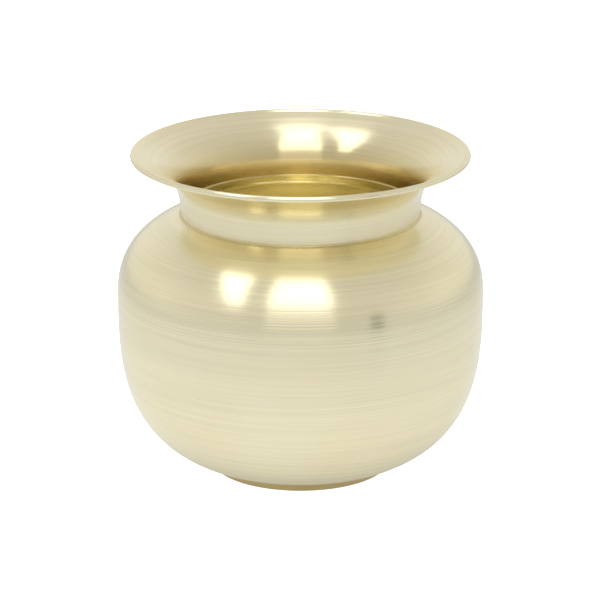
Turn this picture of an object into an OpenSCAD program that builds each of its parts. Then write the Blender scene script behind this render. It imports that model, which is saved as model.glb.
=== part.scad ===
// Brass kalash: a round-bellied water pot raised from spun sheet brass.
// Every piece is a body of revolution about Z. The origin is the centre of the foot,
// on the surface that the pot stands on.

/* [Body] */
// Diameter of the belly at its widest line
body_d = 127; // [115:1:140]
// Height of the widest line above the floor
girth_z = 62.5; // [56:0.5:70]
// Rise of the shoulder's oval above the widest line
shoulder_rise = 33.8; // [30:0.2:38]
// How square the shoulder's oval is (2 is a plain ellipse)
shoulder_fullness = 2.47; // [2.2:0.01:2.8]
// How square the bowl's oval is (2 is a plain ellipse)
bowl_fullness = 3; // [2.7:0.05:3.3]
// Thickness of the sheet brass
wall = 1.2; // [0.8:0.1:1.5]

/* [Mouth] */
// Height of the whole pot
height = 113; // [108:0.5:122]
// Outside diameter of the rim
rim_d = 117; // [108:1:126]
// Outside diameter of the neck where it meets the shoulder
neck_d = 82.5; // [76:0.5:88]
// Outward lean of the neck's wall, in degrees
neck_lean = 4.5; // [2:0.5:6]
// How late the trumpet opens (higher opens nearer the rim)
flare_power = 4; // [3:0.25:5]
// Diameter of the rounded bead along the rim
lip_d = 2; // [1.8:0.1:2.6]

/* [Joints] */
// Height of the collar that stands up inside the neck
collar_h = 2.5; // [2:0.5:6]
// Thickness of the collar, thinned by drawing it up
collar_wall = 0.5; // [0.4:0.1:0.8]
// Reach of the rounded bend from the shoulder into the collar, measured inside
collar_bend = 1.6; // [0.6:0.2:1.8]
// Height of the girth seam above the widest line
seam_rise = 3.5; // [2:0.5:6]
// Height of the bowl's edge that laps inside the shoulder
lap_h = 5; // [3:0.5:8]
// Height of the step that sets the lapped edge inwards
joggle_h = 1.5; // [1.2:0.1:2.5]
// Thickness of the brazing metal in the joints
film = 0.1; // [0.05:0.01:0.15]
// Size of the brazed fillet round the neck
fillet = 0.7; // [0.4:0.1:1]

/* [Foot] */
// Outside diameter of the foot on the floor
foot_d = 62; // [58:0.5:64]
// Outside diameter of the foot where it meets the bowl
foot_top_d = 68.6; // [66:0.2:72]
// Width of the ring's flat standing face
foot_land = 1.8; // [1.2:0.1:2.4]
// Rise of the bowl's bottom panel at its centre
dome_rise = 1; // [0.6:0.1:1.4]

/* [Hidden] */

brass = [0.87, 0.82, 0.62];
inner_brass = [0.80, 0.68, 0.40];
braze_metal = [0.84, 0.74, 0.48];

body_r = body_d / 2;
root_r = neck_d / 2;
collar_r = root_r - wall - film;
throat_r = collar_r - collar_wall;
seam_z = girth_z + seam_rise;
ledge_z = seam_z - film;
lip_r = rim_d / 2 - lip_d / 2;
lip_z = height - lip_d / 2;
foot_r = foot_d / 2;
foot_top_r = foot_top_d / 2;
seat_in_r = foot_r - foot_land + 0.6;
toe_r = foot_top_r + 0.3;
base_r = seat_in_r - 1.8;

arc_steps = 32;
lap_steps = 4;
seat_steps = 4;
panel_steps = 4;
flare_steps = 40;
fillet_steps = 5;

// Even run of n + 1 values from a to b
function run(a, b, n) = [for (i = [0 : n]) a + (b - a) * i / n];

// Quadratic curve from a to b that sets out towards the corner c
function bent(a, c, b) =
    [for (t = run(0, 1, fillet_steps)) pow(1 - t, 2) * a + 2 * t * (1 - t) * c + t * t * b];

function flip(points) = [for (i = [len(points) - 1 : -1 : 0]) points[i]];

// An oval (a superellipse) with half-widths a and b and power n, as height over radius,
// as radius over height, and as the points between two of its angles
function oval_h(a, b, n, r) = b * pow(1 - pow(r / a, n), 1 / n);
function oval_r(a, b, n, h) = a * pow(1 - pow(h / b, n), 1 / n);
function oval_arc(a, b, n, t0, t1) =
    [for (t = run(t0, t1, arc_steps)) [a * pow(cos(t), 2 / n), b * pow(sin(t), 2 / n)]];
function oval_t_of_r(a, n, r) = acos(pow(r / a, n / 2));
function oval_t_of_h(b, n, h) = asin(pow(h / b, n / 2));

// The shoulder's surface, set in from the outside by inset
function shoulder_r(z, inset) =
    oval_r(body_r - inset, shoulder_rise - inset, shoulder_fullness, z - girth_z);
function shoulder_z(r, inset) =
    girth_z + oval_h(body_r - inset, shoulder_rise - inset, shoulder_fullness, r);
function shoulder_arc(inset, z0, r1) =
    let (a = body_r - inset, b = shoulder_rise - inset, n = shoulder_fullness)
    [for (p = oval_arc(a, b, n, oval_t_of_h(b, n, z0 - girth_z), oval_t_of_r(a, n, r1)))
        [p[0], girth_z + p[1]]];

// The bowl's surface below the widest line, set in by inset
function bowl_z(r, inset) = girth_z - oval_h(body_r - inset, girth_z - inset, bowl_fullness, r);
function bowl_arc(inset, r0) =
    let (a = body_r - inset, b = girth_z - inset, n = bowl_fullness)
    [for (p = oval_arc(a, b, n, oval_t_of_r(a, n, r0), 0)) [p[0], girth_z - p[1]]];

// The shoulder's surface along the girth joint's lap
function lap_points(inset) =
    [for (z = run(seam_z, seam_z + lap_h, lap_steps)) [shoulder_r(z, inset), z]];

// The straight-sided band between the widest line and the seam
function band_points(inset, z1) =
    [for (z = run(girth_z, z1, lap_steps)) if (z > girth_z) [shoulder_r(z, inset), z]];

// The shoulder under the neck's lower edge, from the fillet's toe in to the collar
seat_points = [for (r = [root_r + fillet, root_r, root_r - wall, collar_r]) [r, shoulder_z(r, 0)]];
root_z = seat_points[1][1] + film;
collar_top = seat_points[1][1] + collar_h;

// The neck's outer surface: a slight cone with a trumpet flare that grows as a power of height
function neck_r(z) =
    let (rise = lip_z - wall / 2 - root_z, reach = lip_r - root_r - rise * tan(neck_lean))
    root_r + (z - root_z) * tan(neck_lean) + reach * pow((z - root_z) / rise, flare_power);
neck_outer = concat([[root_r, root_z]],
    [for (z = run(root_z + fillet, lip_z - wall / 2, flare_steps)) [neck_r(z), z]]);

// Points moved square to their line, towards its left as the list runs
function shifted(points, d) =
    [for (i = [1 : len(points) - 1])
        let (ahead = points[min(i + 1, len(points) - 1)], step = ahead - points[i - 1])
        points[i] + d * [-step[1], step[0]] / norm(step)];
neck_inner = concat([seat_points[2] + [0, film]], shifted(neck_outer, wall));
function neck_inner_r(z) = lookup(z, [for (p = neck_inner) [p[1], p[0]]]);

// The bowl where the foot ring is brazed on, from the inside edge out
foot_seat = [for (r = run(seat_in_r, foot_top_r, seat_steps)) [r, bowl_z(r, 0)]];

// The bottom panel: a shallow dome inside the foot, lift above the outside surface
function base_panel(r1, lift) =
    let (z1 = bowl_z(base_r, 0) + lift)
    [for (r = run(0, r1, panel_steps)) [r, z1 + dome_rise * (1 - pow(r / r1, 2))]];
floor_r = oval_r(body_r - wall, girth_z - wall, bowl_fullness, girth_z - bowl_z(base_r, 0) - wall);

module turned(points, tint) {
    color(tint) rotate_extrude() polygon(points);
}

// Neck and trumpet in one spinning, its edge rolled into a bead
module flared_mouth() {
    color(brass) rotate_extrude() union() {
        polygon(concat(neck_outer, flip(neck_inner)));
        translate([lip_r, lip_z]) circle(d = lip_d, $fn = 32);
    }
}

// Upper half of the belly, drawn up into a collar that the neck slips over
module shoulder_shell() {
    outside = concat([[shoulder_r(seam_z, 0), seam_z]],
        shoulder_arc(0, seam_z + 1, seat_points[0][0] + 0.5), seat_points);
    collar = [[collar_r, collar_top], [throat_r, collar_top]];
    corner = [throat_r, shoulder_z(throat_r, wall)];
    bend_end = [corner[0] + collar_bend, shoulder_z(corner[0] + collar_bend, wall)];
    bend = bent(corner + [0, collar_bend], corner, bend_end);
    inside = flip(concat(lap_points(wall),
        shoulder_arc(wall, seam_z + lap_h + 1, bend_end[0] + 0.3)));
    turned(concat(outside, collar, bend, inside), brass);
}

// Lower half of the belly with its bottom, its upper edge stepped in to lap inside the shoulder
module bowl_shell() {
    lap_out = lap_points(wall + film);
    lap_in = flip(lap_points(2 * wall + film));
    outside = concat(base_panel(base_r, 0), foot_seat, bowl_arc(0, toe_r), band_points(0, ledge_z));
    step_in = [[shoulder_r(ledge_z, wall + film), ledge_z]];
    step_out = [[shoulder_r(ledge_z, 2 * wall + film), ledge_z],
        [shoulder_r(ledge_z - joggle_h, wall), ledge_z - joggle_h]];
    inside = flip(concat(base_panel(floor_r, wall), bowl_arc(wall, floor_r + 0.5)));
    turned(concat(outside, step_in, lap_out, lap_in, step_out, inside), inner_brass);
}

// Tapered ring that the pot stands on
module foot_ring() {
    top = [for (p = flip(foot_seat)) p - [0, film]];
    turned(concat([[foot_r - foot_land, 0], [foot_r, 0]], top), brass);
}

// Brazing metal round the collar, under the neck's edge and in the corner outside it
module neck_braze() {
    skirt = [for (p = flip(neck_inner)) if (p[1] < collar_top) p];
    heel = neck_outer[1];
    toe = seat_points[0];
    corner = [for (p = bent(heel, [root_r, root_z], toe)) if (p != toe) p];
    turned(concat(seat_points, [[collar_r, collar_top], [neck_inner_r(collar_top), collar_top]],
        skirt, [neck_outer[0]], corner), braze_metal);
}

// Brazing metal in the girth joint: a thin sleeve in the lap and a hairline at the surface
module girth_braze() {
    foot_edge = [[shoulder_r(ledge_z, 0), ledge_z], [shoulder_r(seam_z, 0), seam_z]];
    inner_edge = concat(flip(lap_points(wall + film)), [[shoulder_r(ledge_z, wall + film), ledge_z]]);
    turned(concat(foot_edge, lap_points(wall), inner_edge), braze_metal);
}

// Brazing metal between the bowl and the foot ring, with a small toe outside
module foot_braze() {
    under = [for (p = flip(foot_seat)) p - [0, film]];
    turned(concat(foot_seat, [[toe_r, bowl_z(toe_r, 0)]], under), braze_metal);
}

flared_mouth();
shoulder_shell();
bowl_shell();
foot_ring();
neck_braze();
girth_braze();
foot_braze();
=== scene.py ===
"""Looks for a brass kalash: a round-bellied pot spun from sheet brass, brushed on the lathe.

Every piece is a turned surface: a closed profile in (radius, height) carried round Z.
Lengths are metres.
"""

import math

import bpy
import numpy as np
from bpy.props import FloatProperty, FloatVectorProperty, IntProperty, PointerProperty
from bpy.types import Operator, Panel, PropertyGroup
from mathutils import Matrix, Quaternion, Vector


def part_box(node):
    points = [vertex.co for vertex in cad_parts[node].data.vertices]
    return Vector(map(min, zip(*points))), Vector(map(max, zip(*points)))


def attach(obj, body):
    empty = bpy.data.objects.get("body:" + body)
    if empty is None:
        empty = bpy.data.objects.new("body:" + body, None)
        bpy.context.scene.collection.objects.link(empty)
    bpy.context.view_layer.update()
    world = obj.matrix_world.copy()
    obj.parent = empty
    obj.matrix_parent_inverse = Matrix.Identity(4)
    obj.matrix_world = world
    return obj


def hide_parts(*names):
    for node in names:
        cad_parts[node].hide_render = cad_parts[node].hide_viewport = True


bl_info = {
    "name": "Brass kalash",
    "version": (1, 0, 0),
    "blender": (4, 5, 0),
    "location": "View3D > Sidebar > Kalash",
    "description": "Turned and brushed brass pieces for a kalash, with a pale studio stage",
    "category": "Add Mesh",
}

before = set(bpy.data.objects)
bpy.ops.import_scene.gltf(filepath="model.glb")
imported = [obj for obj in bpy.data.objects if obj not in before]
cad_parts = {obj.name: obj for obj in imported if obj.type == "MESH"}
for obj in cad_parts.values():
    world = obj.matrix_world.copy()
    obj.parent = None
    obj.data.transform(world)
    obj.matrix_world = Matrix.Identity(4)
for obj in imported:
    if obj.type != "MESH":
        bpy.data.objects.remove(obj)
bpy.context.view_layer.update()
MM = 0.001
UV_NAME = "turning"

# How many noise values are drawn on each side of a profile's zero point
NOISE_REACH = 1000
# Broad waves left by spinning, and the sharper marks of the tool, as (share, pitch)
WAVES = ((0.7, 3.4 * MM), (0.3, 1.5 * MM))
TOOL_MARKS = ((0.7, 0.42 * MM), (0.5, 0.75 * MM))
# Reach of the tool marks below and above the girth seam
GROOVE_BELOW, GROOVE_ABOVE = 5 * MM, 10 * MM
# Heights between which the belly's outside has rows close enough for the tool marks
FINE_LOW, FINE_TOP = 60 * MM, 75.5 * MM
# Heights between which the neck's darker inside wall, painted shade deep in the throat, gives way
# to the brushed trumpet
THROAT_LOW, THROAT_TOP = 99 * MM, 110 * MM
# How far the bottom panel stops short of the foot's standing face
BASE_INSET = 1.2 * MM
# How much larger the foot ring's inside radius is at the bowl than on the floor
FOOT_TAPER = 0.6 * MM
# Reach of the brazing metal outside the foot ring
TOE = 0.3 * MM
# Reach of the brown round the neck's foot and round the foot ring, partly tarnish and partly
# painted shade
NECK_TARNISH_SHADE, FOOT_TARNISH_SHADE = 1.3 * MM, 1.2 * MM
# How far outside the neck's corner its tarnish and painted shade are centred
TARNISH_SHADE_OUT = 0.3 * MM

# Turning lines in the finish: spacing along the profile, and how soon they change round the pot
FINE_LINES = (0.5 * MM, 0.7)
BROAD_LINES = (2.2 * MM, 0.6)
STROKES = (0.7 * MM, 1.4)
# How much darker and how much deeper the strokes are than the fine lines
STROKE_SHADE, STROKE_DEPTH = 0.1, 0.5
# How strongly the lines lighten and darken the colour
LINE_CONTRAST = 0.24
# Roughness added by the broad lines and by the corner tarnish, and the share left on unbrushed
# brass
LINE_ROUGHNESS, TARNISH_SHADE_ROUGHNESS, SPUN_SHARE = 0.12, 0.25, 0.75
# Each finish: roughness, stretch of the gloss and depth of the turning lines
BRUSHED = (0.24, 0.8, 0.009 * MM)
FOOT_TURNED = (0.3, 0.9, 0.02 * MM)
DRESSED = (0.36, 0.6, 0.02 * MM)
# Share of the foot's colour left in its duller patches
FOOT_DULL = 0.86

# Softboxes: name, place, direction faced, turn about it, width and height, radiance
SOFTBOXES = (
    ("Front softbox", (0.0, -0.485, 1.85), (0, 0.95, -0.31), 0, (0.7, 2.4), 1.3),
    ("Front skirt", (0.0, -0.9, 0.45), (0, 1, 0), 0, (0.7, 0.56), 0.24),
    ("Ceiling glow", (0.0, 0.35, 3.0), (0, 0, -1), 0, (0.8, 1.3), 1.0),
    ("Side softbox", (-0.96, -0.55, 1.5), (0, 0, -1), math.radians(-31), (0.44, 2.3), 1.4),
)
# The dark card's distance, azimuth in degrees, width and height
LIGHT_STAND = (1.5, 47, 0.22, 0.33)
CARD_GREY = (0.12, 0.12, 0.12, 1)
# The floor: half its side, the share of its colour left far off as painted shade, the tint of
# its glow, and the glow added where the camera sees the floor itself
FLOOR_HALF, FLOOR_FAR_SHADE = 3.0, 0.88
FLOOR_GLOW, FLOOR_SEEN = (0.92, 0.945, 1.01, 1), 0.85
# Colour of the light from all round, and its strength overhead
STUDIO_AIR, STUDIO_TOP = (0.98, 0.975, 0.94, 1), 0.68
# The camera: the point that it looks at, its distance, and its angles in degrees
VIEW_CENTRE = (0, 0, 0.0576)
VIEW_DISTANCE, VIEW_AZIMUTH, VIEW_ELEVATION = 1.187, 0, 17.8


def radius_of(node):
    """Largest radius of a CAD node."""
    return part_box(node)[1].x


def top_of(node):
    """Height of a CAD node's highest point."""
    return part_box(node)[1].z


# ---------------------------------------------------------------- settings


class KalashSizes(PropertyGroup):
    """Sizes of the turned surfaces. Those that the frame holds come from it."""

    belly_radius: FloatProperty(
        name="Belly radius", description="Outside radius at the widest line",
        default=radius_of("bowl_shell"), unit="LENGTH")
    girth_height: FloatProperty(
        name="Girth height", description="Height of the widest line",
        default=62.5 * MM, unit="LENGTH")
    shoulder_rise: FloatProperty(
        name="Shoulder rise", description="Half-height of the shoulder's oval",
        default=33.8 * MM, unit="LENGTH")
    shoulder_power: FloatProperty(
        name="Shoulder fullness", description="Power of the shoulder's oval", default=2.47)
    bowl_power: FloatProperty(
        name="Bowl fullness", description="Power of the bowl's oval", default=3.0)
    wall: FloatProperty(
        name="Sheet", description="Thickness of the sheet brass", default=1.2 * MM, unit="LENGTH")
    neck_radius: FloatProperty(
        name="Neck radius", description="Outside radius of the neck at the shoulder",
        default=41.25 * MM, unit="LENGTH")
    neck_lean: FloatProperty(
        name="Neck lean", description="Outward lean of the neck's wall",
        default=math.radians(4.5), subtype="ANGLE")
    flare_power: FloatProperty(
        name="Flare lateness", description="How near the rim the trumpet opens", default=4.0)
    rim_radius: FloatProperty(
        name="Rim radius", description="Outside radius of the rim",
        default=radius_of("flared_mouth"), unit="LENGTH")
    height: FloatProperty(
        name="Height", description="Height of the pot",
        default=top_of("flared_mouth"), unit="LENGTH")
    bead: FloatProperty(
        name="Lip bead", description="Diameter of the rim's bead", default=2 * MM, unit="LENGTH")
    collar_top: FloatProperty(
        name="Collar top", description="Height of the collar's top edge",
        default=top_of("shoulder_shell"), unit="LENGTH")
    collar_wall: FloatProperty(
        name="Collar wall", description="Thickness of the collar, thinned by drawing it up",
        default=0.5 * MM, unit="LENGTH")
    collar_bend: FloatProperty(
        name="Collar bend", description="Reach of the bend from the shoulder into the collar",
        default=1.6 * MM, unit="LENGTH")
    seam_rise: FloatProperty(
        name="Seam rise", description="Height of the girth seam above the widest line",
        default=3.5 * MM, unit="LENGTH")
    lap: FloatProperty(
        name="Lap", description="Height of the lapped edge inside the girth seam",
        default=5 * MM, unit="LENGTH")
    joggle: FloatProperty(
        name="Joggle", description="Height of the step below the lap",
        default=1.5 * MM, unit="LENGTH")
    film: FloatProperty(
        name="Brazing film", description="Thickness of the brazing metal in the joints",
        default=0.1 * MM, unit="LENGTH")
    fillet: FloatProperty(
        name="Neck fillet", description="Size of the brazed fillet round the neck",
        default=0.7 * MM, unit="LENGTH")
    foot_radius: FloatProperty(
        name="Foot radius", description="Outside radius of the foot on the floor",
        default=31 * MM, unit="LENGTH")
    foot_top_radius: FloatProperty(
        name="Foot top radius", description="Outside radius of the foot at the bowl",
        default=radius_of("foot_ring"), unit="LENGTH")
    foot_land: FloatProperty(
        name="Foot land", description="Width of the ring's standing face",
        default=1.8 * MM, unit="LENGTH")
    dome: FloatProperty(
        name="Bottom dome", description="Rise of the bottom panel", default=1 * MM, unit="LENGTH")
    around: IntProperty(
        name="Steps round", description="Faces round each turned surface",
        default=224, min=96, max=320)
    ripple: FloatProperty(
        name="Spinning ripple", description="Depth of the broad waves left by spinning",
        default=0.01 * MM, unit="LENGTH")
    groove: FloatProperty(
        name="Tool marks", description="Depth of the turning marks near the girth",
        default=0.05 * MM, unit="LENGTH")


class KalashFinish(PropertyGroup):
    """Colours of the metal and the stage."""

    pale: FloatVectorProperty(
        name="Pale brass", description="Main colour of the brushed brass",
        default=(0.92, 0.845, 0.595), subtype="COLOR", size=3)
    warm: FloatVectorProperty(
        name="Warm brass", description="Slightly yellower patches",
        default=(0.9, 0.815, 0.555), subtype="COLOR", size=3)
    inside: FloatVectorProperty(
        name="Inner brass", description="Unbrushed brass inside the belly",
        default=(0.97, 0.9, 0.625), subtype="COLOR", size=3)
    # Colour of painted shade down the neck's inside wall and on the collar
    throat: FloatVectorProperty(
        name="Throat brass", description="Darker brass on the neck's inside wall and the collar",
        default=(0.7, 0.58, 0.32), subtype="COLOR", size=3)
    braze: FloatVectorProperty(
        name="Brazing metal", description="Dressed brazing metal",
        default=(0.74, 0.64, 0.36), subtype="COLOR", size=3)
    # Darker brass of the foot ring: partly its duller finish, partly painted shade for the contact
    # shadow that it reflects
    foot: FloatVectorProperty(
        name="Foot brass with painted shade", description="Duller brass of the foot ring",
        default=(0.81, 0.645, 0.29), subtype="COLOR", size=3)
    # Brown mixed into corners: partly tarnish, partly painted shade
    tarnish_and_shade: FloatVectorProperty(
        name="Tarnish and painted shade", description="Brown bloom in corners",
        default=(0.42, 0.30, 0.12), subtype="COLOR", size=3)
    floor: FloatVectorProperty(
        name="Floor", description="Pale studio floor",
        default=(0.56, 0.57, 0.585), subtype="COLOR", size=3)


# ---------------------------------------------------------------- profiles


def oval_height(a, b, power, r):
    """Height of an oval |r/a|^p + |h/b|^p = 1 at radius r."""
    return b * (1 - (r / a) ** power) ** (1 / power)


def oval_radius(a, b, power, h):
    """Radius of the same oval at height h."""
    return a * (1 - (h / b) ** power) ** (1 / power)


def shoulder_radius(size, z, inset):
    """Radius of the shoulder's oval at height z, set in from the outside by inset."""
    return oval_radius(size.belly_radius - inset, size.shoulder_rise - inset, size.shoulder_power,
                       z - size.girth_height)


def shoulder_height(size, r, inset):
    """Height of the shoulder's oval at radius r."""
    return size.girth_height + oval_height(
        size.belly_radius - inset, size.shoulder_rise - inset, size.shoulder_power, r)


def bowl_height(size, r, inset):
    """Height of the bowl's oval at radius r, below the widest line."""
    return size.girth_height - oval_height(
        size.belly_radius - inset, size.girth_height - inset, size.bowl_power, r)


def shoulder_curve(size, inset, z0, r1, steps):
    """The shoulder's oval from height z0 up to radius r1, its angle running evenly between them."""
    a, b, p = size.belly_radius - inset, size.shoulder_rise - inset, size.shoulder_power
    low = np.arcsin(((z0 - size.girth_height) / b) ** (p / 2))
    t = np.linspace(low, np.arccos((r1 / a) ** (p / 2)), steps)
    return np.c_[a * np.cos(t) ** (2 / p), size.girth_height + b * np.sin(t) ** (2 / p)]


def bowl_curve(size, inset, r0, z1, steps):
    """The bowl's oval from radius r0 up to the widest line, then the shoulder's up to height z1."""
    a, b, p = size.belly_radius - inset, size.girth_height - inset, size.bowl_power
    t = np.linspace(np.arccos((r0 / a) ** (p / 2)), 0, steps)
    low = np.c_[a * np.cos(t) ** (2 / p), size.girth_height - b * np.sin(t) ** (2 / p)]
    z = np.linspace(size.girth_height, z1, 12)[1:]
    return np.r_[low, np.c_[shoulder_radius(size, z, inset), z]]


def lengths(path):
    """Distance along a path at each of its points."""
    return np.r_[0, np.cumsum(np.hypot(*np.diff(path, axis=0).T))]


def cut(path, first, last, spacing):
    """The path between two distances along it, laid out again at an even spacing."""
    s = lengths(path)
    count = max(2, int(round((last - first) / spacing)) + 1)
    at = np.linspace(first, last, count)
    return np.c_[np.interp(at, s, path[:, 0]), np.interp(at, s, path[:, 1])]


def joined(stretches, closed):
    """One profile from stretches (path, spacing, radius of the corner at its end).

    Each stretch is laid out again at its own spacing, and each corner becomes a quadratic curve
    between points one radius back along its two sides.
    Returns the profile and the number of the stretch that each of its points is on.
    """
    count = len(stretches)
    parts, afters = [], []
    for i, (path, spacing, after) in enumerate(stretches):
        path = np.asarray(path, float)
        whole = lengths(path)[-1]
        before = stretches[i - 1][2] if i or closed else 0
        after = after if i + 1 < count or closed else 0
        before, after = min(before, whole * 0.45), min(after, whole * 0.6)
        parts.append((cut(path, before, whole - after, spacing), path[-1]))
        afters.append(after)
    profile, number = [], []
    for i, (part, corner) in enumerate(parts):
        if i + 1 < count or closed:
            following = parts[(i + 1) % count][0]
            if afters[i] > 0:
                t = np.linspace(0, 1, 6)[1:-1, None]
                bend = (1 - t) ** 2 * part[-1] + 2 * t * (1 - t) * corner + t * t * following[0]
                part = np.r_[part, bend]
            else:
                part = part[:-1]
        profile.append(part)
        number.append(np.full(len(part), i))
    return np.concatenate(profile), np.concatenate(number)


def normals_of(profile, closed):
    """Unit normals of a profile, on its right as it runs."""
    if closed:
        step = np.roll(profile, -1, axis=0) - np.roll(profile, 1, axis=0)
    else:
        step = np.gradient(profile, axis=0)
    step /= np.hypot(*step.T)[:, None]
    return np.c_[step[:, 1], -step[:, 0]]


def smooth_noise(rng, x, pitch):
    """Random heights every pitch along x, joined by a cosine ease, between -1 and 1."""
    values = rng.uniform(-1, 1, 2 * NOISE_REACH)
    whole = np.floor(x / pitch).astype(int)
    part = (1 - np.cos(np.pi * (x / pitch - whole))) / 2
    whole = whole + NOISE_REACH
    return values[whole] * (1 - part) + values[whole + 1] * part


def round_noise(rng, angle, orders):
    """Random periodic wave round the axis: a sum of cosines of whole orders, about -1 to 1."""
    wave = sum(rng.uniform(0.3, 1) * np.cos(k * angle + rng.uniform(0, 2 * np.pi))
               for k in orders)
    return wave / len(orders)


def spin(name, profile, around, closed, relief, marks, zero=0):
    """Mesh object from a profile turned about Z.

    Point (i, j) is (r_i cos a_j, r_i sin a_j, z_i), moved along the profile's normal by
    relief[i, j]. marks are numbers along the profile, stored on the mesh for the finish.
    A profile that isn't closed starts and ends on the axis, where a single pole point closes it.
    The UV map holds turns round the axis and metres along the profile, counted from point zero.
    """
    angle = np.arange(around) * (2 * np.pi / around)
    s = lengths(np.r_[profile, profile[:1]] if closed else profile)
    s = s - s[zero]
    normal = normals_of(profile, closed)
    r = profile[:, 0, None] + normal[:, 0, None] * relief
    z = profile[:, 1, None] + normal[:, 1, None] * relief
    if not closed:
        r, z = r[1:-1], z[1:-1]
    rows = len(r)
    points = np.stack([r * np.cos(angle), r * np.sin(angle), z], axis=-1).reshape(-1, 3)
    i, j = np.meshgrid(np.arange(rows if closed else rows - 1), np.arange(around), indexing="ij")
    up, on = (i + 1) % rows * around, (j + 1) % around
    faces = np.stack([i * around + j, i * around + on, up + on, up + j], axis=-1)
    faces = faces.reshape(-1, 4).tolist()
    first = 0 if closed else 1
    low, high = s[i + first], s[i + first + 1]
    left, right = j / around, (j + 1) / around
    uv = np.stack([left, low, right, low, right, high, left, high], axis=-1).reshape(-1, 2)
    if not closed:
        k = np.arange(around)
        after = (k + 1) % around
        top = (rows - 1) * around
        pole = np.full(around, len(points))
        points = np.r_[points, [[0, 0, profile[0, 1]], [0, 0, profile[-1, 1]]]]
        faces += np.c_[pole, after, k].tolist() + np.c_[top + k, top + after, pole + 1].tolist()
        left, middle, right = k / around, (k + 0.5) / around, (k + 1) / around
        flat = 0 * k
        low = np.stack([middle, flat + s[0], right, flat + s[1], left, flat + s[1]], axis=-1)
        high = np.stack([left, flat + s[-2], right, flat + s[-2], middle, flat + s[-1]], axis=-1)
        uv = np.r_[uv, low.reshape(-1, 2), high.reshape(-1, 2)]
    mesh = bpy.data.meshes.new(name)
    mesh.from_pydata(points.tolist(), [], faces)
    mesh.shade_smooth()
    mesh.uv_layers.new(name=UV_NAME).data.foreach_set("uv", uv.astype(np.float32).ravel())
    for label, amount in marks.items():
        amount = amount if closed else amount[1:-1]
        amount = np.r_[np.repeat(amount, around), np.zeros(len(points) - rows * around)]
        store = mesh.attributes.new(label, "FLOAT", "POINT").data
        store.foreach_set("value", amount.astype(np.float32))
    mesh.update()
    piece = bpy.data.objects.new(name, mesh)
    bpy.context.scene.collection.objects.link(piece)
    return piece


def ease(x, low, high):
    """0 below low, 1 above high and a smooth step between."""
    t = np.clip((x - low) / (high - low), 0, 1)
    return t * t * (3 - 2 * t)


def turning_relief(size, s, z, around, seed, groove_low, groove_high):
    """Height of the spun surface over a true one, by distance along the profile and angle.

    Broad waves left by the spinning tool, which change slowly round the pot, and between two
    heights the sharper marks of the tool that dressed the seam, which fade away on one side.
    """
    rng = np.random.default_rng(seed)
    angle = np.arange(around) * (2 * np.pi / around)
    waves = sum(share * smooth_noise(rng, s, pitch) for share, pitch in WAVES)
    drift = 1 + 0.5 * round_noise(rng, angle, (1, 2, 3))
    marks = sum(share * smooth_noise(rng, s, pitch) for share, pitch in TOOL_MARKS)
    marks = np.minimum(marks, 0.1) - 0.1
    band = (ease(z, groove_low - 2 * MM, groove_low + 1 * MM)
            * (1 - ease(z, groove_high - 3 * MM, groove_high)))
    fade = 0.35 + 0.65 * ease(np.cos(angle + np.pi / 2 + 0.1), -0.2, 0.8)
    return (size.ripple * np.outer(waves, drift)
            + size.groove * np.outer(marks * band, fade))


def nearness(profile, r, z, reach):
    """Bell curve of the distance from a circle of radius r at height z, 1 on it."""
    return np.exp(-((np.hypot(profile[:, 0] - r, profile[:, 1] - z) / reach) ** 2))


# ---------------------------------------------------------------- turned pieces


def neck_foot(size):
    """Height of the neck's lower edge, on its film of brazing metal."""
    return shoulder_height(size, size.neck_radius, 0) + size.film


def neck_lines(size):
    """Outer and inner lines of the neck and trumpet, from the lower edge to inside the bead.

    Radius = neck + height x tan(lean) + reach x (height / rise) ^ power; the inner line is one
    sheet's thickness square to it.
    """
    low = neck_foot(size)
    lip_r, lip_z = size.rim_radius - size.bead / 2, size.height - size.bead / 2
    rise = lip_z - size.wall / 2 - low
    reach = lip_r - size.neck_radius - rise * math.tan(size.neck_lean)
    h = np.linspace(0, rise, 160)
    cone = size.neck_radius + h * math.tan(size.neck_lean)
    outer = np.c_[cone + reach * (h / rise) ** size.flare_power, low + h]
    inner = outer - size.wall * normals_of(outer, False)
    edge = size.neck_radius - size.wall
    inner[0] = edge, shoulder_height(size, edge, 0) + size.film
    return outer, inner


def up_to_circle(path, centre, radius):
    """The part of a path before it enters a circle."""
    gap = np.hypot(*(path - centre).T) - radius
    k = int(np.argmax(gap < 0))
    part = gap[k - 1] / (gap[k - 1] - gap[k])
    return np.r_[path[:k], [path[k - 1] + part * (path[k] - path[k - 1])]]


def mouth_profile(size):
    """The neck's outer line, the bead's circle, the inner line back down and the lower edge."""
    outer, inner = neck_lines(size)
    centre = np.array([size.rim_radius - size.bead / 2, size.height - size.bead / 2])
    outer = up_to_circle(outer, centre, size.bead / 2)
    inner = up_to_circle(inner, centre, size.bead / 2)
    start = np.arctan2(*(outer[-1] - centre)[::-1])
    end = np.arctan2(*(inner[-1] - centre)[::-1])
    t = np.linspace(start, end, 60)
    bead = centre + size.bead / 2 * np.c_[np.cos(t), np.sin(t)]
    return joined([
        (outer, 0.4 * MM, 0.3 * MM),
        (bead, 0.2 * MM, 0.3 * MM),
        (inner[::-1], 0.4 * MM, 0.3 * MM),
        ([inner[0], outer[0]], 0.3 * MM, 0.15 * MM),
    ], True)


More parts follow.
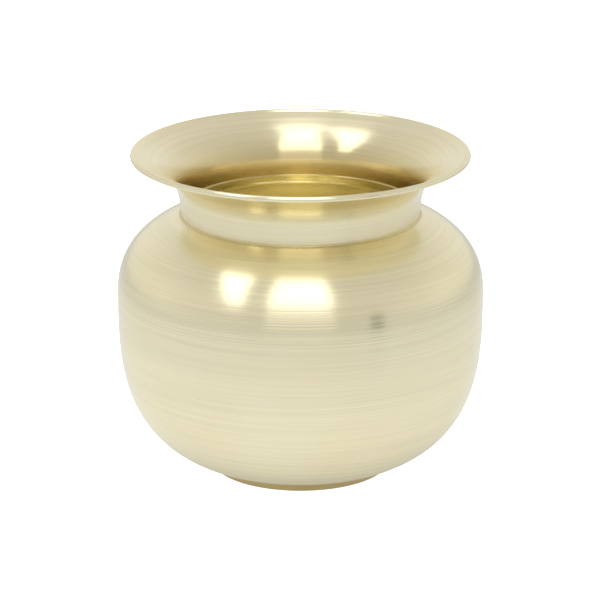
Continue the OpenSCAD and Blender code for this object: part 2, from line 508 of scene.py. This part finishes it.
def shoulder_profile(size):
    """The oval outside, up the collar, over its edge, round its bend and the oval back inside.

    The first stretch, up to the height where the tool marks end, has closer rows.
    """
    w = size.wall
    seam = size.girth_height + size.seam_rise
    collar = size.neck_radius - w - size.film
    throat = collar - size.collar_wall
    outside = shoulder_curve(size, 0, seam, collar, 400)
    split = int(np.argmax(outside[:, 1] > FINE_TOP))
    inside = shoulder_curve(size, w, seam, throat, 200)[::-1]
    return joined([
        (outside[: split + 1], 0.16 * MM, 0),
        (outside[split:], 0.45 * MM, 0.3 * MM),
        ([outside[-1], (collar, size.collar_top)], 0.8 * MM, 0.05 * MM),
        ([(collar, size.collar_top), (throat, size.collar_top)], 0.1 * MM, 0.2 * MM),
        ([(throat, size.collar_top), inside[0]], 0.25 * MM, size.collar_bend),
        (inside, 0.8 * MM, 0.05 * MM),
        ([inside[-1], outside[0]], 0.4 * MM, 0.02 * MM),
    ], True)


def bowl_profile(size):
    """From the axis: the domed panel, the oval outside, the stepped lap and the way back inside.

    The panel and the floor above it rise as dome x (1 - (r / edge) squared).
    """
    w, film = size.wall, size.film
    seam = size.girth_height + size.seam_rise
    ledge = seam - film
    step = ledge - size.joggle
    base_r = size.foot_radius - size.foot_land - BASE_INSET
    base_z = bowl_height(size, base_r, 0)
    floor_r = oval_radius(size.belly_radius - w, size.girth_height - w, size.bowl_power,
                          size.girth_height - base_z - w)
    r = np.linspace(0, base_r, 60)
    panel = np.c_[r, base_z + size.dome * (1 - (r / base_r) ** 2)]
    r = np.linspace(floor_r, 0, 60)
    floor = np.c_[r, base_z + w + size.dome * (1 - (r / floor_r) ** 2)]
    outside = bowl_curve(size, 0, base_r, ledge, 400)
    split = int(np.argmax(outside[:, 1] > FINE_LOW))
    inside = bowl_curve(size, w, floor_r, step, 300)[::-1]
    z = np.linspace(ledge, seam + size.lap, 12)
    lap_out = np.c_[shoulder_radius(size, z, w + film), z]
    lap_in = np.c_[shoulder_radius(size, z, 2 * w + film), z][::-1]
    return joined([
        (panel, 0.9 * MM, 0.3 * MM),
        (outside[: split + 1], 0.55 * MM, 0),
        (outside[split:], 0.16 * MM, 0.02 * MM),
        ([outside[-1], lap_out[0]], 0.4 * MM, 0.05 * MM),
        (lap_out, 0.8 * MM, 0.15 * MM),
        ([lap_out[-1], lap_in[0]], 0.4 * MM, 0.3 * MM),
        (lap_in, 0.6 * MM, 0.3 * MM),
        ([lap_in[-1], inside[0]], 0.3 * MM, 0.3 * MM),
        (inside, 0.9 * MM, 0.8 * MM),
        (floor, 0.9 * MM, 0),
    ], False)


def foot_seat(size, lift):
    """The bowl's surface where the foot ring sits, from the inside edge out."""
    inner = size.foot_radius - size.foot_land + FOOT_TAPER
    r = np.linspace(inner, size.foot_top_radius, 30)
    return np.c_[r, bowl_height(size, r, 0) + lift]


def foot_profile(size):
    """The standing face, straight up outside, along the bowl's oval and straight down inside."""
    seat = foot_seat(size, -size.film)
    land = [(size.foot_radius - size.foot_land, 0), (size.foot_radius, 0)]
    return joined([
        (land, 0.3 * MM, 0.25 * MM),
        ([land[1], seat[-1]], 0.25 * MM, 0.12 * MM),
        (seat[::-1], 0.4 * MM, 0.12 * MM),
        ([seat[0], land[0]], 0.3 * MM, 0.25 * MM),
    ], True)


def neck_braze_profile(size):
    """Along the shoulder, up the quadratic fillet, under the neck's edge and round the collar."""
    collar = size.neck_radius - size.wall - size.film
    outer, inner = neck_lines(size)
    r = np.linspace(collar, size.neck_radius + size.fillet, 20)
    seat = np.c_[r, shoulder_height(size, r, 0)]
    heel_z = outer[0, 1] + size.fillet
    heel = np.array([np.interp(heel_z, outer[:, 1], outer[:, 0]), heel_z])
    t = np.linspace(0, 1, 12)[:, None]
    fillet = (1 - t) ** 2 * seat[-1] + 2 * t * (1 - t) * outer[0] + t * t * heel
    skirt = inner[inner[:, 1] < size.collar_top]
    top = np.array([np.interp(size.collar_top, inner[:, 1], inner[:, 0]), size.collar_top])
    return joined([
        (seat, 0.3 * MM, 0.02 * MM),
        (fillet, 0.1 * MM, 0.02 * MM),
        ([heel, outer[0]], 0.3 * MM, 0.02 * MM),
        ([outer[0], inner[0]], 0.4 * MM, 0.02 * MM),
        (np.r_[skirt, [top]], 0.8 * MM, 0.05 * MM),
        ([top, (collar, size.collar_top)], 0.1 * MM, 0.05 * MM),
        ([(collar, size.collar_top), seat[0]], 0.8 * MM, 0.02 * MM),
    ], True)


def girth_braze_profile(size):
    """A hairline between the sheets at the surface, and a sleeve one film thick in the lap."""
    w, film = size.wall, size.film
    seam = size.girth_height + size.seam_rise
    ledge = seam - film
    z = np.linspace(seam, seam + size.lap, 12)
    sleeve = np.c_[shoulder_radius(size, z, w), z]
    z = np.linspace(seam + size.lap, ledge, 12)
    back = np.c_[shoulder_radius(size, z, w + film), z]
    edge = np.array([[shoulder_radius(size, ledge, 0), ledge],
                     [shoulder_radius(size, seam, 0), seam]])
    return joined([
        ([back[-1], edge[0]], 0.4 * MM, 0.01 * MM),
        (edge, 0.05 * MM, 0.01 * MM),
        ([edge[1], sleeve[0]], 0.4 * MM, 0.01 * MM),
        (sleeve, 0.8 * MM, 0.01 * MM),
        ([sleeve[-1], back[0]], 0.05 * MM, 0.01 * MM),
        (back, 0.8 * MM, 0.01 * MM),
    ], True)


def foot_braze_profile(size):
    """One film between the foot ring and the bowl's oval, drawn out to a small toe outside."""
    seat = foot_seat(size, 0)
    under = foot_seat(size, -size.film)
    toe_r = size.foot_top_radius + TOE
    toe = (toe_r, bowl_height(size, toe_r, 0))
    return joined([
        (under, 0.4 * MM, 0.02 * MM),
        ([under[-1], toe], 0.1 * MM, 0.02 * MM),
        ([toe, seat[-1]], 0.1 * MM, 0),
        (seat[::-1], 0.4 * MM, 0.02 * MM),
        ([seat[0], under[0]], 0.05 * MM, 0.02 * MM),
    ], True)


def finish_piece(piece, node, material):
    """Gives a piece its material and puts it in the place of its CAD node."""
    piece.data.materials.append(material)
    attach(piece, "root")
    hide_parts(node)


def turned_piece(name, node, material, size, shape, *, closed=True, outer=(), inner=(),
                 throat=(), seed, zero=0):
    """One turned piece: its profile, its relief and its marks for the finish.

    outer, inner and throat are the numbers of the stretches that are brushed outside, left as spun
    inside and darkened with painted shade in the throat. Distances along the profile are counted
    from point zero.
    """
    profile, number = shape
    s = lengths(profile)
    s = s - s[zero]
    brushed = np.isin(number, outer).astype(float)
    spun = np.isin(number, inner).astype(float)
    seam = size.girth_height + size.seam_rise
    relief = turning_relief(size, s, profile[:, 1], size.around, seed,
                            seam - GROOVE_BELOW, seam + GROOVE_ABOVE)
    relief *= (brushed + 0.5 * spun)[:, None]
    marks = {
        "inside": spun,
        # throat: painted shade, darker lower down the neck's inside wall
        "throat": np.isin(number, throat) * (1 - ease(profile[:, 1], THROAT_LOW, THROAT_TOP)),
        # corner: brown at the neck's foot and the foot ring's top, partly tarnish and partly
        # painted shade
        "corner": np.maximum(
            nearness(profile, size.neck_radius + TARNISH_SHADE_OUT, neck_foot(size), NECK_TARNISH_SHADE),
            nearness(profile, size.foot_top_radius,
                     bowl_height(size, size.foot_top_radius, 0), FOOT_TARNISH_SHADE)),
    }
    piece = spin(name, profile, size.around, closed, relief, marks, zero)
    finish_piece(piece, node, material)


# ---------------------------------------------------------------- materials


def node(tree, kind, values=None, **settings):
    """New node; values maps an input's name or number to a constant or to the socket feeding it."""
    made = tree.nodes.new(kind)
    for key, value in settings.items():
        setattr(made, key, value)
    for key, value in (values or {}).items():
        if isinstance(value, bpy.types.NodeSocket):
            tree.links.new(value, made.inputs[key])
        else:
            made.inputs[key].default_value = value
    return made


def maths(tree, operation, *values):
    """One Math node's result."""
    return node(tree, "ShaderNodeMath", dict(enumerate(values)), operation=operation).outputs[0]


def mixed(tree, amount, a, b):
    """Colour a where amount is 0 and b where it is 1."""
    return node(tree, "ShaderNodeMix", {0: amount, 6: a, 7: b}, data_type="RGBA").outputs[2]


def ranged(tree, value, low, high, to_low, to_high):
    """Value carried from the range low to high to another range, and held at its ends."""
    made = node(tree, "ShaderNodeMapRange", {0: value, 1: low, 2: high, 3: to_low, 4: to_high})
    return made.outputs[0]


def mark(tree, name):
    """A mark stored on the mesh, from 0 to 1."""
    return node(tree, "ShaderNodeAttribute", attribute_name=name).outputs["Fac"]


def surface(tree, values):
    """Principled shader with these inputs, on the material's output."""
    shader = node(tree, "ShaderNodeBsdfPrincipled", values)
    node(tree, "ShaderNodeOutputMaterial", {"Surface": shader.outputs[0]})


def new_group(name, takes, gives):
    """Empty shader node group and its sockets.

    takes lists (name, socket type, default) and gives lists (name, socket type).
    """
    group = bpy.data.node_groups.new(name, "ShaderNodeTree")
    for label, kind, value in takes:
        group.interface.new_socket(label, in_out="INPUT", socket_type=kind).default_value = value
    for label, kind in gives:
        group.interface.new_socket(label, in_out="OUTPUT", socket_type=kind)
    start, end = group.nodes.new("NodeGroupInput"), group.nodes.new("NodeGroupOutput")
    return group, start.outputs, end.inputs


def turning_lines_group():
    """Fine lines round the pot, from noise drawn out along the circumference.

    The noise's place is (cos a, sin a) x drift and distance along the profile / spacing.
    """
    tree, takes, gives = new_group(
        "Turning lines",
        [("Spacing", "NodeSocketFloat", 0.5 * MM), ("Drift", "NodeSocketFloat", 1.0)],
        [("Line", "NodeSocketFloat")])
    along = node(tree, "ShaderNodeSeparateXYZ",
                 {0: node(tree, "ShaderNodeUVMap", uv_map=UV_NAME).outputs[0]}).outputs[1]
    place = node(tree, "ShaderNodeTexCoord").outputs["Object"]
    flat = node(tree, "ShaderNodeVectorMath", {0: place, 1: (1, 1, 0)}, operation="MULTIPLY")
    unit = node(tree, "ShaderNodeVectorMath", {0: flat.outputs[0]}, operation="NORMALIZE")
    sides = node(tree, "ShaderNodeSeparateXYZ", {0: unit.outputs[0]}).outputs
    spot = node(tree, "ShaderNodeCombineXYZ", {
        0: maths(tree, "MULTIPLY", sides[0], takes["Drift"]),
        1: maths(tree, "MULTIPLY", sides[1], takes["Drift"]),
        2: maths(tree, "DIVIDE", along, takes["Spacing"])}).outputs[0]
    noise = node(tree, "ShaderNodeTexNoise",
                 {"Vector": spot, "Scale": 1.0, "Detail": 1.0, "Roughness": 0.5})
    tree.links.new(noise.outputs[0], gives["Line"])
    return tree


def brass_tone_group():
    """Colour of worked brass: soft patches, light and dark turning lines, and brown in corners that
    is partly tarnish and partly painted shade.
    """
    tree, takes, gives = new_group(
        "Brass tone",
        [("Pale", "NodeSocketColor", (0.8, 0.7, 0.4, 1)),
         ("Warm", "NodeSocketColor", (0.8, 0.6, 0.3, 1)),
         ("Tarnish and painted shade", "NodeSocketColor", (0.4, 0.3, 0.1, 1)),
         ("Line", "NodeSocketFloat", 0.5),
         ("Contrast", "NodeSocketFloat", 0.1),
         ("Corner", "NodeSocketFloat", 0.0)],
        [("Colour", "NodeSocketColor"), ("Tarnish and shade share", "NodeSocketFloat")])
    place = node(tree, "ShaderNodeTexCoord").outputs["Object"]
    patch = node(tree, "ShaderNodeTexNoise", {"Vector": place, "Scale": 26.0, "Detail": 3.0})
    warmth = ranged(tree, patch.outputs[0], 0.38, 0.66, 0.0, 1.0)
    body = mixed(tree, warmth, takes["Pale"], takes["Warm"])
    light = maths(tree, "ADD", 1.0, maths(
        tree, "MULTIPLY", maths(tree, "SUBTRACT", takes["Line"], 0.5), takes["Contrast"]))
    shaded = node(tree, "ShaderNodeVectorMath", {0: body, "Scale": light}, operation="SCALE")
    speck = node(tree, "ShaderNodeTexNoise", {"Vector": place, "Scale": 420.0, "Detail": 4.0})
    # Speckled brown near the corners, partly tarnish and partly painted shade
    tarnish_shade = maths(tree, "MULTIPLY", takes["Corner"],
                  ranged(tree, speck.outputs[0], 0.3, 0.7, 0.0, 0.12))
    tree.links.new(mixed(tree, tarnish_shade, shaded.outputs[0], takes["Tarnish and painted shade"]), gives["Colour"])
    tree.links.new(tarnish_shade, gives["Tarnish and shade share"])
    return tree


def shared_group(name, builder):
    """The node group of this name, built the first time that it is asked for."""
    return bpy.data.node_groups.get(name) or builder()


def lines(tree, spacing, drift):
    """Turning lines of one spacing, placed in a material."""
    group = shared_group("Turning lines", turning_lines_group)
    made = node(tree, "ShaderNodeGroup", node_tree=group)
    made.inputs["Spacing"].default_value = spacing
    made.inputs["Drift"].default_value = drift
    return made.outputs["Line"]


def metal(tree, colour, roughness, normal, anisotropic):
    """Metal surface whose gloss is stretched across the turning lines."""
    tangent = node(tree, "ShaderNodeTangent", direction_type="UV_MAP", uv_map=UV_NAME)
    surface(tree, {
        "Base Color": colour, "Roughness": roughness, "Normal": normal,
        "Tangent": tangent.outputs[0], "Metallic": 1.0, "Anisotropic": anisotropic,
        "Anisotropic Rotation": 0.25})


def empty_material(name):
    """New material without nodes, and its node tree."""
    material = bpy.data.materials.new(name)
    material.use_nodes = True
    material.node_tree.nodes.clear()
    return material, material.node_tree


def brass_material(name, pale, warm, look, gloss, anisotropic, bump):
    """Brushed brass; what is marked inside or throat keeps the smoother finish of the spinning."""
    if name in bpy.data.materials:
        return bpy.data.materials[name]
    material, tree = empty_material(name)
    fine, broad = lines(tree, *FINE_LINES), lines(tree, *BROAD_LINES)
    strokes = ranged(tree, lines(tree, *STROKES), 0.54, 0.78, 0.0, 1.0)
    inside, throat, corner = mark(tree, "inside"), mark(tree, "throat"), mark(tree, "corner")
    both = maths(tree, "ADD", maths(tree, "MULTIPLY", fine, 0.55),
                 maths(tree, "MULTIPLY", broad, 0.45))
    both = maths(tree, "SUBTRACT", both, maths(tree, "MULTIPLY", strokes, STROKE_SHADE))
    height = maths(tree, "SUBTRACT", fine, maths(tree, "MULTIPLY", strokes, STROKE_DEPTH))

    def toned(colour):
        spun = mixed(tree, inside, (*colour, 1), (*look.inside, 1))
        # Throat marks mix in the painted shade colour
        return mixed(tree, throat, spun, (*look.throat, 1))

    tone = node(tree, "ShaderNodeGroup", node_tree=shared_group("Brass tone", brass_tone_group))
    for label, source in (("Pale", toned(pale)), ("Warm", toned(warm)),
                          ("Line", both), ("Corner", corner)):
        tree.links.new(source, tone.inputs[label])
    tone.inputs["Tarnish and painted shade"].default_value = (*look.tarnish_and_shade, 1)
    tone.inputs["Contrast"].default_value = LINE_CONTRAST
    swing = maths(tree, "MULTIPLY", maths(tree, "SUBTRACT", broad, 0.5), LINE_ROUGHNESS)
    rough = maths(tree, "ADD", gloss, swing)
    rough = maths(tree, "ADD", rough,
                  maths(tree, "MULTIPLY", tone.outputs["Tarnish and shade share"], TARNISH_SHADE_ROUGHNESS))
    unbrushed = maths(tree, "MAXIMUM", inside, throat)
    rough = maths(tree, "MULTIPLY", rough, ranged(tree, unbrushed, 0.0, 1.0, 1.0, SPUN_SHARE))
    normal = node(tree, "ShaderNodeBump", {"Height": height, "Distance": bump, "Strength": 1.0})
    metal(tree, tone.outputs["Colour"], rough, normal.outputs[0], anisotropic)
    return material


# ---------------------------------------------------------------- operators


class PieceOperator:
    """Shared by the operators that make one turned piece or a group of them."""

    bl_options = {"REGISTER", "UNDO"}

    def sizes(self, context):
        """The pot's sizes."""
        return context.scene.kalash_sizes

    def brushed(self, context):
        """The brushed brass that the mouth, the belly and the girth seam share."""
        look = context.scene.kalash_finish
        return brass_material("Brushed brass", look.pale, look.warm, look, *BRUSHED)


class KALASH_OT_mouth(PieceOperator, Operator):
    """Neck and trumpet mouth with its rolled bead"""

    bl_idname = "kalash.mouth"
    bl_label = "Flared mouth"

    def execute(self, context):
        size = self.sizes(context)
        turned_piece("Flared_mouth", "flared_mouth", self.brushed(context), size,
                     mouth_profile(size), outer=(0, 1, 2), throat=(2,), seed=11)
        return {"FINISHED"}


class KALASH_OT_shoulder(PieceOperator, Operator):
    """Upper half of the belly with its collar"""

    bl_idname = "kalash.shoulder"
    bl_label = "Shoulder shell"

    def execute(self, context):
        size = self.sizes(context)
        turned_piece("Shoulder_shell", "shoulder_shell", self.brushed(context),
                     size, shoulder_profile(size), outer=(0, 1), inner=(4, 5), throat=(3,),
                     seed=12)
        return {"FINISHED"}


class KALASH_OT_bowl(PieceOperator, Operator):
    """Lower half of the belly with its bottom"""

    bl_idname = "kalash.bowl"
    bl_label = "Bowl shell"

    def execute(self, context):
        size = self.sizes(context)
        shape = bowl_profile(size)
        seam = int(np.argmax(shape[1] == 3))
        turned_piece("Bowl_shell", "bowl_shell", self.brushed(context), size,
                     shape, closed=False, outer=(0, 1, 2), inner=(6, 7, 8, 9), seed=12, zero=seam)
        return {"FINISHED"}


class KALASH_OT_foot(PieceOperator, Operator):
    """Tapered ring that the pot stands on"""

    bl_idname = "kalash.foot"
    bl_label = "Foot ring"

    def execute(self, context):
        size, look = self.sizes(context), context.scene.kalash_finish
        dull = [FOOT_DULL * value for value in look.foot]
        # The foot's colour carries painted shade for the dark floor beside it
        material = brass_material("Foot brass with painted shade", look.foot, dull, look, *FOOT_TURNED)
        turned_piece("Foot_ring", "foot_ring", material, size,
                     foot_profile(size), outer=(1,), seed=14)
        return {"FINISHED"}


class KALASH_OT_brazing(PieceOperator, Operator):
    """Dressed brazing metal in the neck, girth and foot joints"""

    bl_idname = "kalash.brazing"
    bl_label = "Brazed joints"

    def execute(self, context):
        size, look = self.sizes(context), context.scene.kalash_finish
        dressed = brass_material("Brazing metal", look.braze, look.braze, look, *DRESSED)
        brushed = self.brushed(context)
        for name, node_name, shape, material, outer in (
                ("Neck_braze", "neck_braze", neck_braze_profile(size), dressed, ()),
                ("Girth_braze", "girth_braze", girth_braze_profile(size), brushed, (0, 1)),
                ("Foot_braze", "foot_braze", foot_braze_profile(size), dressed, ())):
            zero = int(np.argmax(shape[1] == 1))
            turned_piece(name, node_name, material, size, shape,
                         outer=outer, seed=12, zero=zero)
        return {"FINISHED"}


def area_light(name, place, facing, turn, size, radiance):
    """Rectangular softbox facing a direction; its power is radiance x pi x area."""
    data = bpy.data.lights.new(name, "AREA")
    data.shape = "RECTANGLE"
    data.size, data.size_y = size
    data.energy = radiance * math.pi * size[0] * size[1]
    lamp = bpy.data.objects.new(name, data)
    lamp.location = place
    lamp.rotation_mode = "QUATERNION"
    lamp.rotation_quaternion = Vector(facing).to_track_quat("-Z", "Y") @ Quaternion((0, 0, 1), turn)
    bpy.context.scene.collection.objects.link(lamp)


def flat_panel(name, corners, material_name):
    """One four-cornered face with an empty material; returns it and the material's nodes."""
    mesh = bpy.data.meshes.new(name)
    mesh.from_pydata(corners, [], [(0, 1, 2, 3)])
    panel = bpy.data.objects.new(name, mesh)
    bpy.context.scene.collection.objects.link(panel)
    material, tree = empty_material(material_name)
    mesh.materials.append(material)
    return panel, tree


def dark_card(name, distance, azimuth, width, height):
    """Dark upright card out of the camera's sight, for the metal to reflect."""
    a = math.radians(azimuth)
    side = Vector((math.cos(a), math.sin(a), 0)) * width / 2
    foot = Vector((math.sin(a), -math.cos(a), 0)) * distance
    up = Vector((0, 0, height))
    card, tree = flat_panel(name, [foot - side, foot + side, foot + side + up, foot - side + up],
                            name)
    card.visible_camera = False
    surface(tree, {"Base Color": CARD_GREY, "Roughness": 0.8})
    return card


def pale_floor(colour):
    """Square floor that glows softly, with a painted shadow under the pot and painted shade further
    off.
    """
    h = FLOOR_HALF
    floor, tree = flat_panel("Floor", [(-h, -h, 0), (h, -h, 0), (h, h, 0), (-h, h, 0)],
                             "Pale floor")
    seen = node(tree, "ShaderNodeLightPath").outputs["Is Camera Ray"]
    place = node(tree, "ShaderNodeTexCoord").outputs["Object"]
    away = node(tree, "ShaderNodeVectorMath", {0: place}, operation="LENGTH").outputs["Value"]
    far = [FLOOR_FAR_SHADE * value for value in colour]
    # Glow dimmed further off as painted shade and under the pot as a painted contact shadow
    glow = maths(tree, "MULTIPLY", ranged(tree, away, 0.06, 0.45, 0.41, 0.21),
                 ranged(tree, away, 0.03, 0.055, 0.75, 1.0))
    glow = maths(tree, "ADD", glow, maths(tree, "MULTIPLY", seen, FLOOR_SEEN))
    # Colour darker further off: painted shade
    base = mixed(tree, ranged(tree, away, 0.1, 0.4, 0.0, 1.0), (*colour, 1), (*far, 1))
    surface(tree, {"Base Color": base, "Roughness": 0.9, "Specular IOR Level": 0.0,
                   "Emission Color": FLOOR_GLOW, "Emission Strength": glow})
    return floor


def studio_world():
    """Soft light all round, brighter behind the pot than in front, and even overhead."""
    world = bpy.data.worlds.new("Studio")
    world.use_nodes = True
    tree = world.node_tree
    tree.nodes.clear()
    place = node(tree, "ShaderNodeTexCoord").outputs["Generated"]
    way = node(tree, "ShaderNodeSeparateXYZ", {0: place}).outputs
    wall = ranged(tree, way[1], -0.9, 0.2, 0.66, 0.84)
    shade = ranged(tree, way[2], 0.3, 0.8, 0.0, 1.0)
    level = node(tree, "ShaderNodeMix", {0: shade, 2: wall, 3: STUDIO_TOP}, data_type="FLOAT")
    back = node(tree, "ShaderNodeBackground",
                {"Color": STUDIO_AIR, "Strength": level.outputs[0]})
    node(tree, "ShaderNodeOutputWorld", {"Surface": back.outputs[0]})
    return world


def aim(distance, azimuth, elevation, centre):
    """Place at a distance from a centre, with azimuth 0 at the front (-Y) and 90 at the right."""
    a, e = math.radians(azimuth), math.radians(elevation)
    return (centre[0] + distance * math.cos(e) * math.sin(a),
            centre[1] - distance * math.cos(e) * math.cos(a),
            centre[2] + distance * math.sin(e))


def studio_camera():
    """Long lens in front of the pot and a little above it."""
    data = bpy.data.cameras.new("Camera")
    data.lens = 204.5
    data.shift_x = -0.0008
    data.shift_y = 0.0075
    data.clip_end = 20
    camera = bpy.data.objects.new("Camera", data)
    centre = Vector(VIEW_CENTRE)
    camera.location = aim(VIEW_DISTANCE, VIEW_AZIMUTH, VIEW_ELEVATION, centre)
    camera.rotation_euler = (centre - camera.location).to_track_quat("-Z", "Y").to_euler()
    bpy.context.scene.collection.objects.link(camera)
    return camera


class KALASH_OT_stage(Operator):
    """Pale floor, soft studio light and the camera"""

    bl_idname = "kalash.stage"
    bl_label = "Studio stage"
    bl_options = {"REGISTER", "UNDO"}

    def execute(self, context):
        scene = context.scene
        floor = pale_floor(scene.kalash_finish.floor)
        scene.world = studio_world()
        for softbox in SOFTBOXES:
            area_light(*softbox)
        stand = dark_card("Light stand", *LIGHT_STAND)
        scene.camera = studio_camera()
        scene.view_settings.view_transform = "Standard"
        scene.cycles.glossy_bounces = 8
        return {"FINISHED"}


class KALASH_PT_panel(Panel):
    """Buttons for each piece and the settings they read"""

    bl_label = "Brass kalash"
    bl_idname = "KALASH_PT_panel"
    bl_space_type = "VIEW_3D"
    bl_region_type = "UI"
    bl_category = "Kalash"

    def draw(self, context):
        layout = self.layout
        for step in STEPS:
            layout.operator(step.bl_idname)
        for settings in (context.scene.kalash_sizes, context.scene.kalash_finish):
            box = layout.box()
            for label in settings.__annotations__:
                box.prop(settings, label)


STEPS = (KALASH_OT_mouth, KALASH_OT_shoulder, KALASH_OT_bowl, KALASH_OT_foot,
         KALASH_OT_brazing, KALASH_OT_stage)
CLASSES = (KalashSizes, KalashFinish, *STEPS, KALASH_PT_panel)


def register():
    """Adds the settings, the operators and the panel."""
    for made in CLASSES:
        bpy.utils.register_class(made)
    bpy.types.Scene.kalash_sizes = PointerProperty(type=KalashSizes)
    bpy.types.Scene.kalash_finish = PointerProperty(type=KalashFinish)


def unregister():
    """Takes away what register added."""
    del bpy.types.Scene.kalash_finish
    del bpy.types.Scene.kalash_sizes
    for made in reversed(CLASSES):
        bpy.utils.unregister_class(made)


def main():
    """Makes every piece and the stage."""
    register()
    bpy.ops.kalash.mouth()
    bpy.ops.kalash.shoulder()
    bpy.ops.kalash.bowl()
    bpy.ops.kalash.foot()
    bpy.ops.kalash.brazing()
    bpy.ops.kalash.stage()


if __name__ == "__main__":
    main()
